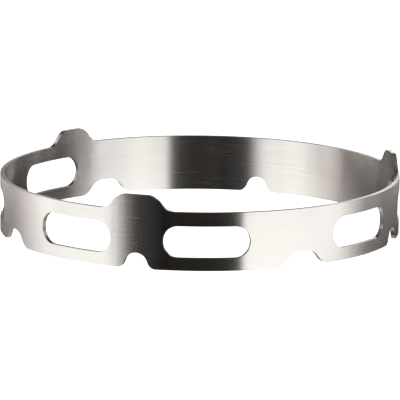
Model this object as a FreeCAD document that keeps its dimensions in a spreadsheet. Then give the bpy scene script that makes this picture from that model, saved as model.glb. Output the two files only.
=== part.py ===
import FreeCAD, Part
import math
import os
import Sketcher

# Wok riser: one strip of stainless steel sheet, cut flat and rolled into a
# closed hoop. Three tabs stand up from its upper edge and carry the wok, six
# long slots let air in, and eight notches in its lower edge drop over the
# fingers of a pan support.
#
# Frame: the hoop's axis is Z, its plain lower edge lies on Z = 0 and the broad
# tab is at the front, on -Y. The hoop is the same on both sides of X = 0.
# Angles are in degrees about +Z, 0 at the front and positive towards +X.
# All lengths are in millimetres.

V = FreeCAD.Vector
doc = FreeCAD.newDocument("wok_riser")

# ---------------------------------------------------------------- the sheet
sizes = doc.addObject("Spreadsheet::Sheet", "Sizes")
ROWS = [
    ("ring_radius", 120.0, "outside radius of the hoop"),
    ("sheet_thick", 2.5, "thickness of the strip"),
    ("band_high", 34.0, "height of the plain band"),
    # Outlines are given as on a flat template that touches the outside of the
    # hoop at the middle of the feature.
    ("slot_long", 51.8, "slot, overall length"),
    ("slot_high", 18.6, "slot, overall height; its ends are full half rounds"),
    ("slot_rise", 16.7, "slot, height of its centre line above the lower edge"),
    ("slot_near", 19.75, "angle of the first pair of slots from the front"),
    ("slot_far", 70.25, "angle of the second pair from the front; the third pair lies as far from the back"),
    ("bar_deep", 9.2, "round notch, depth"),
    ("bar_crown", 7.1, "round notch, radius of its crown"),
    ("bar_foot", 5.0, "round notch, radius of its lower corners"),
    ("bar_slope", 68.0, "round notch, angle of its sides to the edge"),
    ("wide_deep", 9.0, "wide notch, depth"),
    ("wide_flat", 4.6, "wide notch, length of its level top"),
    ("wide_crown", 10.0, "wide notch, radius of its upper corners"),
    ("wide_foot", 10.0, "wide notch, radius of its lower corners"),
    ("wide_slope", 54.0, "wide notch, angle of its sides to the edge"),
    ("wide_turn", 47.7, "angle of the wide notches from the front and from the back"),
    ("tab_high", 9.1, "height of the tabs above the band"),
    ("broad_flat", 12.8, "front tab, length of its level top"),
    ("broad_round", 10.0, "front tab, radius of its corners, above and below"),
    ("broad_slope", 53.5, "front tab, angle of its sides to the edge"),
    ("slim_flat", 9.8, "rear tabs, length of their level top"),
    ("slim_round", 8.2, "rear tabs, radius of their corners, above and below"),
    ("slim_slope", 49.5, "rear tabs, angle of their sides to the edge"),
    ("tab_turn", 120.0, "angle of the rear tabs from the front"),
    ("near_plane", 106.0, "distance from the axis to a cutter's inner end"),
    ("far_plane", 128.0, "distance from the axis to a cutter's outer end"),
    ("skirt", 3.0, "how far a cutter or a tab template runs past the edge"),
    ("spare", 1.0, "strip left above the tabs before the upper edge is cut"),
]
for row, (alias, value, note) in enumerate(ROWS, start=1):
    sizes.set("A%d" % row, str(value))
    sizes.setAlias("A%d" % row, alias)
    sizes.set("B%d" % row, note)
doc.recompute()


def val(alias):
    return float(sizes.get(alias))


def role(body, name):
    return [o for o in body.Origin.OriginFeatures if o.Role == name][0]


def name_last(sketch, name, expression):
    """Name the constraint that was added last and bind it to the sheet."""
    n = len(sketch.Constraints) - 1
    sketch.renameConstraint(n, name)
    sketch.setExpression("Constraints." + name, expression)


# ------------------------------------------------------- the rolled strip
# The strip before its edges are cut: a plain hoop, a little taller than the
# tabs.
strip = doc.addObject("PartDesign::Body", "rolled_strip")
ring = strip.newObject("Sketcher::SketchObject", "ring_section")
ring.AttachmentSupport = [(role(strip, "XY_Plane"), "")]
ring.MapMode = "FlatFace"
ring.addGeometry(Part.Circle(V(0, 0, 0), V(0, 0, 1), val("ring_radius")))
ring.addGeometry(Part.Circle(V(0, 0, 0), V(0, 0, 1), val("ring_radius") - val("sheet_thick")))
ring.addConstraint(Sketcher.Constraint("Coincident", 0, 3, -1, 1))
ring.addConstraint(Sketcher.Constraint("Coincident", 1, 3, -1, 1))
ring.addConstraint(Sketcher.Constraint("Radius", 0, val("ring_radius")))
name_last(ring, "outside", "Sizes.ring_radius")
ring.addConstraint(Sketcher.Constraint("Radius", 1, val("ring_radius") - val("sheet_thick")))
name_last(ring, "inside", "Sizes.ring_radius - Sizes.sheet_thick")
pad = strip.newObject("PartDesign::Pad", "strip_height")
pad.Profile = ring
pad.Length = val("band_high") + val("tab_high") + val("spare")
pad.setExpression("Length", "Sizes.band_high + Sizes.tab_high + Sizes.spare")
strip.Tip = pad


# -------------------------------------------------------------- outlines
def slot_outline():
    """Long slot with half-round ends. X runs along the hoop, Y is height."""
    sk = doc.addObject("Sketcher::SketchObject", "slot_outline")
    r = val("slot_high") / 2
    c = val("slot_long") / 2 - r
    y = val("slot_rise")
    sk.addGeometry(Part.LineSegment(V(-c, y - r, 0), V(c, y - r, 0)))
    sk.addGeometry(Part.ArcOfCircle(Part.Circle(V(c, y, 0), V(0, 0, 1), r), -math.pi / 2, math.pi / 2))
    sk.addGeometry(Part.LineSegment(V(c, y + r, 0), V(-c, y + r, 0)))
    sk.addGeometry(Part.ArcOfCircle(Part.Circle(V(-c, y, 0), V(0, 0, 1), r), math.pi / 2, 3 * math.pi / 2))
    sk.addConstraint([
        Sketcher.Constraint("Tangent", 0, 2, 1, 1),
        Sketcher.Constraint("Tangent", 1, 2, 2, 1),
        Sketcher.Constraint("Tangent", 2, 2, 3, 1),
        Sketcher.Constraint("Tangent", 3, 2, 0, 1),
        Sketcher.Constraint("Symmetric", 0, 1, 0, 2, -2),
        Sketcher.Constraint("Equal", 1, 3),
    ])
    sk.addConstraint(Sketcher.Constraint("Radius", 1, r))
    name_last(sk, "end_round", "Sizes.slot_high / 2")
    sk.addConstraint(Sketcher.Constraint("DistanceX", 3, 3, 1, 3, 2 * c))
    name_last(sk, "straight", "Sizes.slot_long - Sizes.slot_high")
    sk.addConstraint(Sketcher.Constraint("DistanceY", -1, 1, 1, 3, y))
    name_last(sk, "rise", "Sizes.slot_rise")
    return sk


def hump_outline(name, base, high, flat, crown, foot, slope):
    """Raised outline on a level edge: a level or round top, rounded shoulders,
    straight sides and rounded feet that run out into the edge. A tab is this
    shape in metal; a notch is the same shape cut away. A skirt below closes it
    past the edge. Arguments are expressions on the sheet."""
    def num(expression):
        return 0.0 if expression == "0" else val(expression.replace("Sizes.", ""))
    z0, d, f = num(base), num(high), num(flat) / 2
    r1, r2, a = num(crown), num(foot), math.radians(num(slope))
    # half width at the edge
    xb = f + r1 * math.tan(a / 2) + d / math.tan(a) + r2 * math.tan(a / 2)
    if f == 0:
        # one arc over the top: its sides start where the slope touches it
        xb = r1 * math.sin(a) + (d - r1 * (1 - math.cos(a)) - r2 * (1 - math.cos(a))) / math.tan(a) + r2 * math.sin(a)
    skirt = val("skirt")
    top, low = z0 + d, z0 - skirt
    right_top = V(f + r1 * math.sin(a), top - r1 + r1 * math.cos(a), 0)
    right_foot = V(xb - r2 * math.sin(a), z0 + r2 - r2 * math.cos(a), 0)
    left_top = V(-right_top.x, right_top.y, 0)
    left_foot = V(-right_foot.x, right_foot.y, 0)
    up = V(0, 0, 1)
    sk = doc.addObject("Sketcher::SketchObject", name)
    q = math.pi / 2
    sk.addGeometry(Part.LineSegment(left_foot, left_top))                                                # 0 left side
    sk.addGeometry(Part.LineSegment(right_top, right_foot))                                              # 1 right side
    sk.addGeometry(Part.ArcOfCircle(Part.Circle(V(xb, z0 + r2, 0), up, r2), 3 * q - a, 3 * q))           # 2 right foot
    sk.addGeometry(Part.LineSegment(V(xb, z0, 0), V(xb, low, 0)))                                        # 3 right skirt
    sk.addGeometry(Part.LineSegment(V(xb, low, 0), V(-xb, low, 0)))                                      # 4 lower side
    sk.addGeometry(Part.LineSegment(V(-xb, low, 0), V(-xb, z0, 0)))                                      # 5 left skirt
    sk.addGeometry(Part.ArcOfCircle(Part.Circle(V(-xb, z0 + r2, 0), up, r2), 3 * q, 3 * q + a))          # 6 left foot
    if f > 0:
        sk.addGeometry(Part.ArcOfCircle(Part.Circle(V(f, top - r1, 0), up, r1), q - a, q))               # 7 right shoulder
        sk.addGeometry(Part.LineSegment(V(f, top, 0), V(-f, top, 0)))                                    # 8 level top
        sk.addGeometry(Part.ArcOfCircle(Part.Circle(V(-f, top - r1, 0), up, r1), q, q + a))              # 9 left shoulder
        tops = [
            Sketcher.Constraint("Tangent", 7, 2, 8, 1),
            Sketcher.Constraint("Tangent", 8, 2, 9, 1),
            Sketcher.Constraint("Tangent", 9, 2, 0, 2),
            Sketcher.Constraint("Symmetric", 8, 1, 8, 2, -2),
            Sketcher.Constraint("Equal", 7, 9),
        ]
    else:
        sk.addGeometry(Part.ArcOfCircle(Part.Circle(V(0, top - r1, 0), up, r1), q - a, q + a))           # 7 round top
        tops = [
            Sketcher.Constraint("Tangent", 7, 2, 0, 2),
            Sketcher.Constraint("PointOnObject", 7, 3, -2),
        ]
    sk.addConstraint(tops + [
        Sketcher.Constraint("Tangent", 7, 1, 1, 1),
        Sketcher.Constraint("Tangent", 1, 2, 2, 1),
        Sketcher.Constraint("Coincident", 2, 2, 3, 1),
        Sketcher.Constraint("Coincident", 3, 2, 4, 1),
        Sketcher.Constraint("Coincident", 4, 2, 5, 1),
        Sketcher.Constraint("Coincident", 5, 2, 6, 1),
        Sketcher.Constraint("Tangent", 6, 2, 0, 1),
        Sketcher.Constraint("Vertical", 3),
        Sketcher.Constraint("Vertical", 5),
        Sketcher.Constraint("Vertical", 2, 3, 2, 2),
        Sketcher.Constraint("Vertical", 6, 3, 6, 1),
        Sketcher.Constraint("Symmetric", 4, 1, 4, 2, -2),
        Sketcher.Constraint("Equal", 2, 6),
    ])
    sk.addConstraint(Sketcher.Constraint("Radius", 7, r1))
    name_last(sk, "crown", crown)
    sk.addConstraint(Sketcher.Constraint("Radius", 2, r2))
    name_last(sk, "foot", foot)
    sk.addConstraint(Sketcher.Constraint("Angle", 0, a))
    name_last(sk, "slope", "(%s) * 1 deg" % slope)
    if f > 0:
        sk.addConstraint(Sketcher.Constraint("DistanceX", 8, 2, 8, 1, 2 * f))
        name_last(sk, "flat", flat)
        sk.addConstraint(Sketcher.Constraint("DistanceY", -1, 1, 8, 1, top))
        name_last(sk, "top", "%s + %s" % (base, high))
    else:
        sk.addConstraint(Sketcher.Constraint("DistanceY", -1, 1, 7, 3, top - r1))
        name_last(sk, "top", "%s + %s - %s" % (base, high, crown))
    sk.addConstraint(Sketcher.Constraint("DistanceY", 4, 1, 3, 1, skirt))
    name_last(sk, "skirt", "Sizes.skirt")
    if base == "0":
        sk.addConstraint(Sketcher.Constraint("PointOnObject", 3, 1, -1))
        sk.addConstraint(Sketcher.Constraint("PointOnObject", 5, 2, -1))
    else:
        sk.addConstraint(Sketcher.Constraint("DistanceY", -1, 1, 3, 1, z0))
        name_last(sk, "edge", base)
        sk.addConstraint(Sketcher.Constraint("Horizontal", 3, 1, 5, 2))
    return sk


slot = slot_outline()
bar = hump_outline("round_notch_outline", "0", "Sizes.bar_deep", "0",
                   "Sizes.bar_crown", "Sizes.bar_foot", "Sizes.bar_slope")
wide = hump_outline("wide_notch_outline", "0", "Sizes.wide_deep", "Sizes.wide_flat",
                    "Sizes.wide_crown", "Sizes.wide_foot", "Sizes.wide_slope")
broad = hump_outline("broad_tab_outline", "Sizes.band_high", "Sizes.tab_high", "Sizes.broad_flat",
                     "Sizes.broad_round", "Sizes.broad_round", "Sizes.broad_slope")
slim = hump_outline("slim_tab_outline", "Sizes.band_high", "Sizes.tab_high", "Sizes.slim_flat",
                    "Sizes.slim_round", "Sizes.slim_round", "Sizes.slim_slope")


# ------------------------------------------------------ radial prisms
# The strip was cut flat and then rolled, so every cut edge faces along the
# radius. Each outline therefore becomes a prism that widens away from the
# axis: the outline is drawn at its own width where it touches the hoop, and
# wider or narrower in proportion on the two end planes.
def radial_prism(name, outline):
    ends = []
    for tag in ("near_plane", "far_plane"):
        end = doc.addObject("Part::Scale", "%s_%s" % (name, tag))
        end.Base = outline
        end.Uniform = False
        end.XScale = val(tag) / val("ring_radius")
        end.setExpression("XScale", "Sizes.%s / Sizes.ring_radius" % tag)
        end.YScale = 1.0
        end.ZScale = 1.0
        end.Placement = FreeCAD.Placement(V(0, -val(tag), 0), FreeCAD.Rotation(V(1, 0, 0), 90))
        end.setExpression("Placement.Base.y", "-Sizes.%s" % tag)
        ends.append(end)
    prism = doc.addObject("Part::Loft", name)
    prism.Sections = ends
    prism.Solid = True
    prism.Ruled = True
    return prism


def around(name, prism, turns):
    """The same prism at each of the given angles from the front."""
    links = []
    for n, turn in enumerate(turns, start=1):
        link = doc.addObject("App::Link", "%s_%d" % (name, n))
        link.LinkedObject = prism
        link.Placement = FreeCAD.Placement(V(0, 0, 0), FreeCAD.Rotation(V(0, 0, 1), 1))
        link.setExpression("Placement.Rotation.Angle", "(%s) * 1 deg" % turn)
        links.append(link)
    group = doc.addObject("Part::Compound", name)
    group.Links = links
    return group


slots = around("slots", radial_prism("slot_prism", slot), [
    "Sizes.slot_near", "-Sizes.slot_near",
    "Sizes.slot_far", "-Sizes.slot_far",
    "180 - Sizes.slot_far", "Sizes.slot_far - 180",
])
round_notches = around("round_notches", radial_prism("round_notch_prism", bar), ["0", "90", "180", "-90"])
wide_notches = around("wide_notches", radial_prism("wide_notch_prism", wide), [
    "Sizes.wide_turn", "-Sizes.wide_turn",
    "180 - Sizes.wide_turn", "Sizes.wide_turn - 180",
])
front_tab = around("front_tab", radial_prism("broad_tab_prism", broad), ["0"])
rear_tabs = around("rear_tabs", radial_prism("slim_tab_prism", slim), ["Sizes.tab_turn", "-Sizes.tab_turn"])

# ------------------------------------------------------------ upper edge
# What is cut away above the band is a thick collar, less the three tabs.
collar_out = doc.addObject("Part::Cylinder", "collar_out")
collar_out.Radius = val("ring_radius") + 4
collar_out.setExpression("Radius", "Sizes.ring_radius + 4")
collar_in = doc.addObject("Part::Cylinder", "collar_in")
collar_in.Radius = val("ring_radius") - val("sheet_thick") - 4
collar_in.setExpression("Radius", "Sizes.ring_radius - Sizes.sheet_thick - 4")
for c in (collar_out, collar_in):
    c.Height = val("tab_high") + 2 * val("spare")
    c.setExpression("Height", "Sizes.tab_high + 2 * Sizes.spare")
    c.Placement.Base = V(0, 0, val("band_high"))
    c.setExpression("Placement.Base.z", "Sizes.band_high")
collar = doc.addObject("Part::Cut", "collar")
collar.Base = collar_out
collar.Tool = collar_in
tab_prisms = doc.addObject("Part::Compound", "tab_prisms")
tab_prisms.Links = [front_tab, rear_tabs]
waste = doc.addObject("Part::Cut", "upper_waste")
waste.Base = collar
waste.Tool = tab_prisms

edged = doc.addObject("Part::Cut", "edged_strip")
edged.Base = strip
edged.Tool = waste

cuts = doc.addObject("Part::Compound", "cuts")
cuts.Links = [slots, round_notches, wide_notches]
riser = doc.addObject("Part::Cut", "riser_ring")
riser.Label = "riser_ring"
riser.Base = edged
riser.Tool = cuts
riser.Placement = FreeCAD.Placement(V(0, 0, 0), FreeCAD.Rotation(V(0, 0, 1), 0))

doc.recompute()

# ---------------------------------------------------------------- checks
bad = [o.Name for o in doc.Objects if "Invalid" in o.State or "Error" in o.State]
if bad:
    raise RuntimeError("failed: " + ", ".join(bad))
loose = [o.Name for o in doc.Objects if o.isDerivedFrom("Sketcher::SketchObject") and o.solve() != 0]
if loose:
    raise RuntimeError("not solved: " + ", ".join(loose))
for o in doc.Objects:
    if o.isDerivedFrom("Sketcher::SketchObject"):
        print("%-20s fully constrained: %s" % (o.Name, o.FullyConstrained))

PARTS = [riser]
os.makedirs("parts", exist_ok=True)
for part in PARTS:
    shape = part.Shape
    if shape.isNull() or not shape.isValid():
        raise RuntimeError("bad shape: " + part.Label)
    if len(shape.Solids) != 1:
        raise RuntimeError("%s has %d solids" % (part.Label, len(shape.Solids)))

# each step takes away metal
hoop = math.pi * (val("ring_radius") ** 2 - (val("ring_radius") - val("sheet_thick")) ** 2)
print("strip   %.0f mm3, hoop section %.1f mm2" % (strip.Shape.Volume, hoop))
print("edged   %.0f mm3, plain band %.0f mm3" % (edged.Shape.Volume, hoop * val("band_high")))
print("riser   %.0f mm3" % riser.Shape.Volume)
b = riser.Shape.optimalBoundingBox()
print("bounds  x %.2f %.2f  y %.2f %.2f  z %.2f %.2f" % (b.XMin, b.XMax, b.YMin, b.YMax, b.ZMin, b.ZMax))
if not strip.Shape.Volume > edged.Shape.Volume > riser.Shape.Volume > 0.5 * hoop * val("band_high"):
    raise RuntimeError("a cut went the wrong way")

for part in PARTS:
    part.Shape.exportStep(os.path.join("parts", part.Label + ".step"))
    print("wrote parts/%s.step" % part.Label)
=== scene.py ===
# The looks of the wok riser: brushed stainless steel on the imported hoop, a pale floor,
# white cards round it with a gap behind the camera, and the camera of the photograph.
import bpy
import math

from mathutils import Matrix, Vector

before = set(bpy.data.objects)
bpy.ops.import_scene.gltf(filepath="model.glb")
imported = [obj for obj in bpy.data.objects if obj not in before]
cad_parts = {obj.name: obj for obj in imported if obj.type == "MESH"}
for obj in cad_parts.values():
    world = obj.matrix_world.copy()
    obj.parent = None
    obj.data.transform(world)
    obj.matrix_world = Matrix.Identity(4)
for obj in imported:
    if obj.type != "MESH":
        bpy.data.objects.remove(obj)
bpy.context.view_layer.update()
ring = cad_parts["riser_ring"]
scene = bpy.context.scene
RADIUS = 0.120
VIEW_TURN = math.radians(17.7)  # the photograph is taken this far to the right of the front tab


# ---------------------------------------------------------------- camera
def photo_camera():
    distance = 19.83 * RADIUS
    elevation, yaw, pitch, roll = (math.radians(a) for a in (12.018, -0.004, 0.401, 0.555))
    place = Vector((0, -distance * math.cos(elevation), distance * math.sin(elevation)))
    ahead = -place.normalized()
    right = Vector((1, 0, 0))
    up = right.cross(ahead)
    turn = Matrix((right, up, -ahead)).transposed()
    turn = turn @ Matrix.Rotation(yaw, 3, "Y") @ Matrix.Rotation(pitch, 3, "X") @ Matrix.Rotation(roll, 3, "Z")
    around = Matrix.Rotation(VIEW_TURN, 4, "Z")
    data = bpy.data.cameras.new("camera")
    data.sensor_fit = "HORIZONTAL"
    data.sensor_width = 36.0
    data.lens = 36.0 * 3946.0 / 400.0
    data.clip_start = 0.05
    data.clip_end = 60.0
    camera = bpy.data.objects.new("camera", data)
    camera.matrix_world = around @ Matrix.Translation(place) @ turn.to_4x4()
    scene.collection.objects.link(camera)
    scene.camera = camera
    return camera


camera = photo_camera()


# ---------------------------------------------------------------- node helpers
def nodes_of(tree):
    tree.nodes.clear()

    def make(kind, **values):
        node = tree.nodes.new(kind)
        for key, value in values.items():
            if hasattr(node, key):
                setattr(node, key, value)
            else:
                node.inputs[key].default_value = value
        return node

    return make


def math_node(make, link, operation, a, b=None, c=None, clamp=False):
    node = make("ShaderNodeMath", operation=operation, use_clamp=clamp)
    for index, value in enumerate((a, b, c)):
        if value is None:
            continue
        if isinstance(value, (int, float)):
            node.inputs[index].default_value = value
        else:
            link(value, node.inputs[index])
    return node.outputs[0]


# ---------------------------------------------------------------- steel
def hoop_coordinates(make, link):
    """The strip's own coordinates from the hoop's: angle round Z (0 at the front tab, + towards +X), height and radius."""
    where = make("ShaderNodeTexCoord")
    split = make("ShaderNodeSeparateXYZ")
    link(where.outputs["Object"], split.inputs[0])
    x, y, z = split.outputs
    angle = math_node(make, link, "ARCTAN2", x, math_node(make, link, "MULTIPLY", y, -1.0))
    radius = math_node(make, link, "SQRT", math_node(make, link, "ADD", math_node(make, link, "MULTIPLY", x, x),
                                                     math_node(make, link, "MULTIPLY", y, y)))
    return angle, z, radius


def strip_noise(make, link, coordinates, per_metre_along, per_metre_across, detail, roughness=0.6, offset=0.0):
    """Noise stretched along the strip, with no seam where the angle wraps round. The inner and outer faces differ."""
    angle, z, radius = coordinates
    spot = make("ShaderNodeCombineXYZ")
    for index, operation in enumerate(("COSINE", "SINE")):
        turned = math_node(make, link, operation, angle)
        link(math_node(make, link, "MULTIPLY", turned, per_metre_along * RADIUS), spot.inputs[index])
    across = math_node(make, link, "ADD", z, radius)
    link(math_node(make, link, "MULTIPLY_ADD", across, per_metre_across, offset), spot.inputs[2])
    noise = make("ShaderNodeTexNoise", noise_dimensions="3D")
    noise.inputs["Scale"].default_value = 1.0
    noise.inputs["Detail"].default_value = detail
    noise.inputs["Roughness"].default_value = roughness
    link(spot.outputs[0], noise.inputs["Vector"])
    return noise.outputs["Fac"]


def spread(make, link, value, low, high, to_low, to_high):
    node = make("ShaderNodeMapRange")
    for key, number in (("From Min", low), ("From Max", high), ("To Min", to_low), ("To Max", to_high)):
        node.inputs[key].default_value = number
    link(value, node.inputs["Value"])
    return node.outputs[0]


def new_material(name):
    material = bpy.data.materials.new(name)
    material.use_nodes = True
    make = nodes_of(material.node_tree)
    link = material.node_tree.links.new
    out = make("ShaderNodeOutputMaterial")
    bsdf = make("ShaderNodeBsdfPrincipled")
    link(bsdf.outputs["BSDF"], out.inputs["Surface"])
    bsdf.inputs["Metallic"].default_value = 1.0
    return material, make, link, bsdf


def brushed_steel():
    material, make, link, bsdf = new_material("brushed_steel")
    place = hoop_coordinates(make, link)
    grain = strip_noise(make, link, place, 12.0, 1700.0, 3.0, 0.6)
    fine = strip_noise(make, link, place, 60.0, 6000.0, 2.0, offset=31.0)
    broad = strip_noise(make, link, place, 16.0, 300.0, 2.0, 0.5, offset=77.0)
    tone = math_node(make, link, "MULTIPLY_ADD", grain, 0.6, math_node(make, link, "MULTIPLY", fine, 0.4))
    colour = make("ShaderNodeMix", data_type="RGBA")
    colour.inputs["A"].default_value = (0.478, 0.465, 0.447, 1)
    colour.inputs["B"].default_value = (0.522, 0.509, 0.491, 1)
    link(spread(make, link, tone, 0.35, 0.65, 0.0, 1.0), colour.inputs["Factor"])
    link(colour.outputs["Result"], bsdf.inputs["Base Color"])
    mixed = math_node(make, link, "MULTIPLY_ADD", broad, 0.5, math_node(make, link, "MULTIPLY", grain, 0.5))
    link(spread(make, link, mixed, 0.3, 0.7, 0.25, 0.28), bsdf.inputs["Roughness"])
    bump = make("ShaderNodeBump")
    bump.inputs["Strength"].default_value = 0.036
    bump.inputs["Distance"].default_value = 0.00001
    link(tone, bump.inputs["Height"])
    link(bump.outputs[0], bsdf.inputs["Normal"])
    bsdf.inputs["Anisotropic"].default_value = 1.0
    bsdf.inputs["Anisotropic Rotation"].default_value = 0.25
    tangent = make("ShaderNodeTangent", direction_type="RADIAL", axis="Z")
    link(tangent.outputs[0], bsdf.inputs["Tangent"])
    return material


def cut_steel():
    material, make, link, bsdf = new_material("cut_steel")
    place = hoop_coordinates(make, link)
    streak = strip_noise(make, link, place, 900.0, 400.0, 2.0)
    colour = make("ShaderNodeMix", data_type="RGBA")
    colour.inputs["A"].default_value = (0.20, 0.194, 0.186, 1)
    colour.inputs["B"].default_value = (0.27, 0.263, 0.253, 1)
    link(spread(make, link, streak, 0.35, 0.65, 0.0, 1.0), colour.inputs["Factor"])
    link(colour.outputs["Result"], bsdf.inputs["Base Color"])
    link(spread(make, link, streak, 0.3, 0.7, 0.27, 0.34), bsdf.inputs["Roughness"])
    return material


ring.data.materials.clear()
for material in (brushed_steel(), cut_steel()):
    ring.data.materials.append(material)


def split_faces(piece, cut_material):
    """A modifier that joins the faces along their edges, keeps the edges sharp, and gives the cut faces, those not
    facing straight in or out, their own material."""
    group = bpy.data.node_groups.new("cut_faces", "GeometryNodeTree")
    group.interface.new_socket("Geometry", in_out="INPUT", socket_type="NodeSocketGeometry")
    group.interface.new_socket("Geometry", in_out="OUTPUT", socket_type="NodeSocketGeometry")
    make = group.nodes.new
    link = group.links.new
    inside, outside = make("NodeGroupInput"), make("NodeGroupOutput")
    joined = make("GeometryNodeMergeByDistance")
    joined.inputs["Distance"].default_value = 0.000001
    link(inside.outputs[0], joined.inputs["Geometry"])
    angle = make("GeometryNodeInputMeshEdgeAngle")
    steep = make("ShaderNodeMath")
    steep.operation = "GREATER_THAN"
    steep.inputs[1].default_value = math.radians(30)
    link(angle.outputs[0], steep.inputs[0])
    sharp = make("GeometryNodeSetMeshNormal")
    sharp.mode = "SHARPNESS"
    sharp.inputs["Remove Custom"].default_value = True
    link(joined.outputs[0], sharp.inputs["Mesh"])
    link(steep.outputs[0], sharp.inputs["Edge Sharpness"])
    normal, position = make("GeometryNodeInputNormal"), make("GeometryNodeInputPosition")
    flat = make("ShaderNodeVectorMath")
    flat.operation = "MULTIPLY"
    flat.inputs[1].default_value = (1, 1, 0)
    link(position.outputs[0], flat.inputs[0])
    outward = make("ShaderNodeVectorMath")
    outward.operation = "NORMALIZE"
    link(flat.outputs[0], outward.inputs[0])
    facing = make("ShaderNodeVectorMath")
    facing.operation = "DOT_PRODUCT"
    link(outward.outputs[0], facing.inputs[0])
    link(normal.outputs[0], facing.inputs[1])
    size = make("ShaderNodeMath")
    size.operation = "ABSOLUTE"
    link(facing.outputs["Value"], size.inputs[0])
    less = make("ShaderNodeMath")
    less.operation = "LESS_THAN"
    less.inputs[1].default_value = 0.7
    link(size.outputs[0], less.inputs[0])
    dye = make("GeometryNodeSetMaterial")
    dye.inputs["Material"].default_value = cut_material
    link(sharp.outputs[0], dye.inputs["Geometry"])
    link(less.outputs[0], dye.inputs["Selection"])
    link(dye.outputs[0], outside.inputs[0])
    modifier = piece.modifiers.new("cut_faces", "NODES")
    modifier.node_group = group


split_faces(ring, ring.data.materials[1])
bevel = ring.modifiers.new("edge_break", "BEVEL")
bevel.width = 0.00014
bevel.segments = 2
bevel.limit_method = "ANGLE"
bevel.angle_limit = math.radians(40)
bevel.harden_normals = True
bevel.material = 1


# ---------------------------------------------------------------- studio
def camera_sides(make, link, x, y):
    """How far a point lies towards the camera and to the camera's right, in metres, and its azimuth in degrees from the camera's side."""
    cx, cy = math.sin(VIEW_TURN), -math.cos(VIEW_TURN)
    toward = math_node(make, link, "MULTIPLY_ADD", x, cx, math_node(make, link, "MULTIPLY", y, cy))
    side = math_node(make, link, "MULTIPLY_ADD", x, -cy, math_node(make, link, "MULTIPLY", y, cx))
    azimuth = math_node(make, link, "MULTIPLY", math_node(make, link, "ARCTAN2", side, toward), 180.0 / math.pi)
    return toward, side, azimuth


def step_up(make, link, value, low, high):
    """0 below low, 1 above high, and the other way round where high is the smaller."""
    node = make("ShaderNodeMapRange", interpolation_type="SMOOTHSTEP")
    a, b = (0.0, 1.0) if high > low else (1.0, 0.0)
    for key, number in (("From Min", min(low, high)), ("From Max", max(low, high)), ("To Min", a), ("To Max", b)):
        node.inputs[key].default_value = number
    link(value, node.inputs["Value"])
    return node.outputs[0]


def card(make, link, azimuth, first, first_soft, last, last_soft, strength):
    """The light of a white card between two azimuths, which fades over the given angles at its ends."""
    rise = step_up(make, link, azimuth, first - first_soft / 2, first + first_soft / 2)
    fall = step_up(make, link, azimuth, last + last_soft / 2, last - last_soft / 2)
    return math_node(make, link, "MULTIPLY", math_node(make, link, "MULTIPLY", rise, fall), strength)


def panel(name, low, high, colour, cards):
    """A curved wall round the hoop between two heights, lit as white cards that only reflections and light see.
    Each card is (first, soft, last, soft, strength), with azimuths in degrees from the camera's side."""
    radius, step = 0.42, 3.75
    points, faces = [], []
    for k in range(int(-180 / step), int(180 / step)):
        first, last = k * step, (k + 1) * step
        if not any(c[0] - c[1] / 2 < last and first < c[2] + c[3] / 2 for c in cards):
            continue
        n = len(points)
        for a in (math.radians(first) + VIEW_TURN, math.radians(last) + VIEW_TURN):
            points += [(radius * math.sin(a), -radius * math.cos(a), low), (radius * math.sin(a), -radius * math.cos(a), high)]
        faces.append((n, n + 1, n + 3, n + 2))
    mesh = bpy.data.meshes.new(name)
    mesh.from_pydata(points, [], faces)
    wall = bpy.data.objects.new(name, mesh)
    scene.collection.objects.link(wall)
    wall.visible_camera = False
    wall.visible_shadow = False
    material = bpy.data.materials.new(name)
    material.use_nodes = True
    make = nodes_of(material.node_tree)
    link = material.node_tree.links.new
    out = make("ShaderNodeOutputMaterial")
    glow = make("ShaderNodeEmission")
    link(glow.outputs[0], out.inputs["Surface"])
    where = make("ShaderNodeTexCoord")
    split = make("ShaderNodeSeparateXYZ")
    link(where.outputs["Object"], split.inputs[0])
    toward, side, azimuth = camera_sides(make, link, split.outputs[0], split.outputs[1])
    # the sides are a little warmer than the front
    tint = make("ShaderNodeMix", data_type="RGBA")
    tint.inputs["A"].default_value = (*colour, 1)
    tint.inputs["B"].default_value = (colour[0] * 1.04, colour[1] * 0.99, colour[2] * 0.98, 1)
    link(step_up(make, link, math_node(make, link, "ABSOLUTE", azimuth), 80, 105), tint.inputs["Factor"])
    link(tint.outputs["Result"], glow.inputs["Color"])
    light = 0.0
    for first, first_soft, last, last_soft, strength in cards:
        light = math_node(make, link, "ADD", card(make, link, azimuth, first, first_soft, last, last_soft, strength), light)
    wall.data.materials.append(material)
    return make, link, glow, side, split.outputs[2], light


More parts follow.
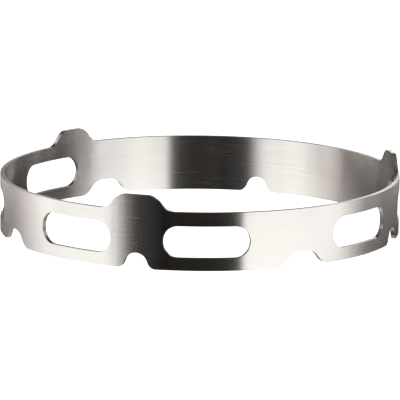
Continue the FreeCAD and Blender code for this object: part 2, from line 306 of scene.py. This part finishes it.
def studio():
    # large cards at the left and right of the camera, with a gap between them, and a brighter line at table level
    left = (-95.5, 56, -42.4, 12.8, 1.98)
    right = (21.0, 1.6, 78, 53, 2.22)
    left_line = (-148, 8, -79.5, 18.4, 1.6)
    left_low = (-95.5, 56, -39.7, 12.8, 1.98)
    right_low = (21.8, 1.6, 78, 53, 2.22)
    right_line = (66, 25.7, 91.5, 55, 2.4)
    far_line = (99, 12.2, 149, 8, 1.25)
    rim = (163, 8, 195, 20, 0.40)
    fringe = (-30, 5, -20.5, 6, 0.045)  # the left card's soft edge
    neutral = (1.0, 1.0, 0.99)
    for name, low, high, colour, cards in (
            ("cards_low", -0.5, -0.05, neutral, (left_low, fringe, right_low, (-145, 8, -108, 30, 0.12), rim)),
            ("cards_mid", -0.05, -0.03, neutral, (left, fringe, right, (-145, 8, -108, 30, 0.12), rim)),
            ("cards_line", -0.03, 0.02, neutral, (left, fringe, right, left_line, right_line, far_line)),
            ("card_under", -1.3, -0.5, neutral, ((-200, 20, -60, 20, 2.2), (26, 5, 75, 20, 2.2), (110, 20, 148, 12, 1.6), (174, 12, 200, 20, 1.6))),
            ("cards_edge", 0.02, 0.06, neutral, (left, fringe, right, left_line, right_line)),
            ("cards_high", 0.12, 0.5, (1.06, 0.98, 0.955), ((-122.5, 26, -38, 8.3, 2.85), (23.5, 2, 107.9, 3, 1.7)))):
        make, link, glow, side, height, light = panel(name, low, high, colour, cards)
        link(light, glow.inputs["Strength"])

    # and one far below, for the faces that lean down
    mesh = bpy.data.meshes.new("card_below")
    mesh.from_pydata([(-0.42, -0.42, -1.3), (0.42, -0.42, -1.3), (0.42, 0.42, -1.3), (-0.42, 0.42, -1.3)], [], [(0, 1, 2, 3)])
    below = bpy.data.objects.new("card_below", mesh)
    scene.collection.objects.link(below)
    below.visible_camera = False
    below.visible_shadow = False
    material = bpy.data.materials.new("card_below")
    material.use_nodes = True
    make = nodes_of(material.node_tree)
    glow = make("ShaderNodeEmission", Color=(*neutral, 1), Strength=1.2)
    material.node_tree.links.new(glow.outputs[0], make("ShaderNodeOutputMaterial").inputs["Surface"])
    below.data.materials.append(material)

    # behind the hoop: a dim sheet with darker and brighter parts, which the upper edges reflect
    make, link, glow, side, height, light = panel("back_sheet", 0.06, 0.20, neutral, ((-212, 1, -148, 1, 0), (148, 1, 212, 1, 0)))

    def between(low, high, soft=0.005):
        return math_node(make, link, "MULTIPLY", step_up(make, link, side, low - soft, low + soft), step_up(make, link, side, high + soft, high - soft))

    def times(one, two):
        return math_node(make, link, "MULTIPLY", one, two)

    front = step_up(make, link, height, 0.115, 0.135)
    rear = math_node(make, link, "SUBTRACT", 1.0, front)
    # (part of the side, strength) as the front edge and the rear edge see them
    parts = [(front, -0.138, -0.090, 2.30), (front, -0.090, -0.066, 0.40), (front, -0.066, 0.030, 0.07),
             (front, 0.030, 0.082, 0.50), (front, 0.084, 0.122, 3.8), (front, 0.122, 0.145, 6.5),
             (rear, -0.145, -0.085, 0.50), (rear, -0.085, -0.026, 0.60), (rear, -0.026, 0.026, 0.07), (rear, 0.026, 0.086, 0.50), (rear, 0.086, 0.145, 0.12)]
    for zone, low, high, strength in parts:
        light = math_node(make, link, "ADD", times(times(between(low, high), zone), strength), light)
    link(light, glow.inputs["Strength"])

    # the room: white to the camera, dark with a soft light overhead to everything else
    world = bpy.data.worlds.new("studio")
    scene.world = world
    world.use_nodes = True
    make = nodes_of(world.node_tree)
    link = world.node_tree.links.new
    out = make("ShaderNodeOutputWorld")
    back = make("ShaderNodeBackground")
    link(back.outputs[0], out.inputs[0])
    path = make("ShaderNodeLightPath")
    where = make("ShaderNodeTexCoord")
    split = make("ShaderNodeSeparateXYZ")
    link(where.outputs["Generated"], split.inputs[0])
    dim = make("ShaderNodeMix", data_type="RGBA")
    dim.inputs["A"].default_value = (0.018, 0.0155, 0.0135, 1)
    dim.inputs["B"].default_value = (0.42, 0.38, 0.355, 1)
    link(step_up(make, link, split.outputs[2], 0.73, 0.80), dim.inputs["Factor"])
    mix = make("ShaderNodeMix", data_type="RGBA")
    link(path.outputs["Is Camera Ray"], mix.inputs["Factor"])
    link(dim.outputs["Result"], mix.inputs["A"])
    mix.inputs["B"].default_value = (1, 1, 1, 1)
    link(mix.outputs["Result"], back.inputs[0])

    # the floor: pale, lit so evenly that only the closest contact darkens it
    mesh = bpy.data.meshes.new("floor")
    mesh.from_pydata([(-6, -6, 0), (6, -6, 0), (6, 6, 0), (-6, 6, 0)], [], [(0, 1, 2, 3)])
    floor = bpy.data.objects.new("floor", mesh)
    scene.collection.objects.link(floor)
    floor.visible_glossy = False
    floor.visible_shadow = False  # light from below the table level passes it, as its reflection does
    material = bpy.data.materials.new("floor")
    material.use_nodes = True
    make = nodes_of(material.node_tree)
    link = material.node_tree.links.new
    out = make("ShaderNodeOutputMaterial")
    bsdf = make("ShaderNodeBsdfPrincipled")
    bsdf.inputs["Base Color"].default_value = (0.8, 0.8, 0.8, 1)
    bsdf.inputs["Roughness"].default_value = 1.0
    bsdf.inputs["Specular IOR Level"].default_value = 0.0
    bsdf.inputs["Emission Color"].default_value = (1, 1, 1, 1)
    bsdf.inputs["Emission Strength"].default_value = 0.92
    link(bsdf.outputs[0], out.inputs["Surface"])
    floor.data.materials.append(material)


studio()
scene.view_settings.view_transform = "Standard"
scene.view_settings.look = "None"
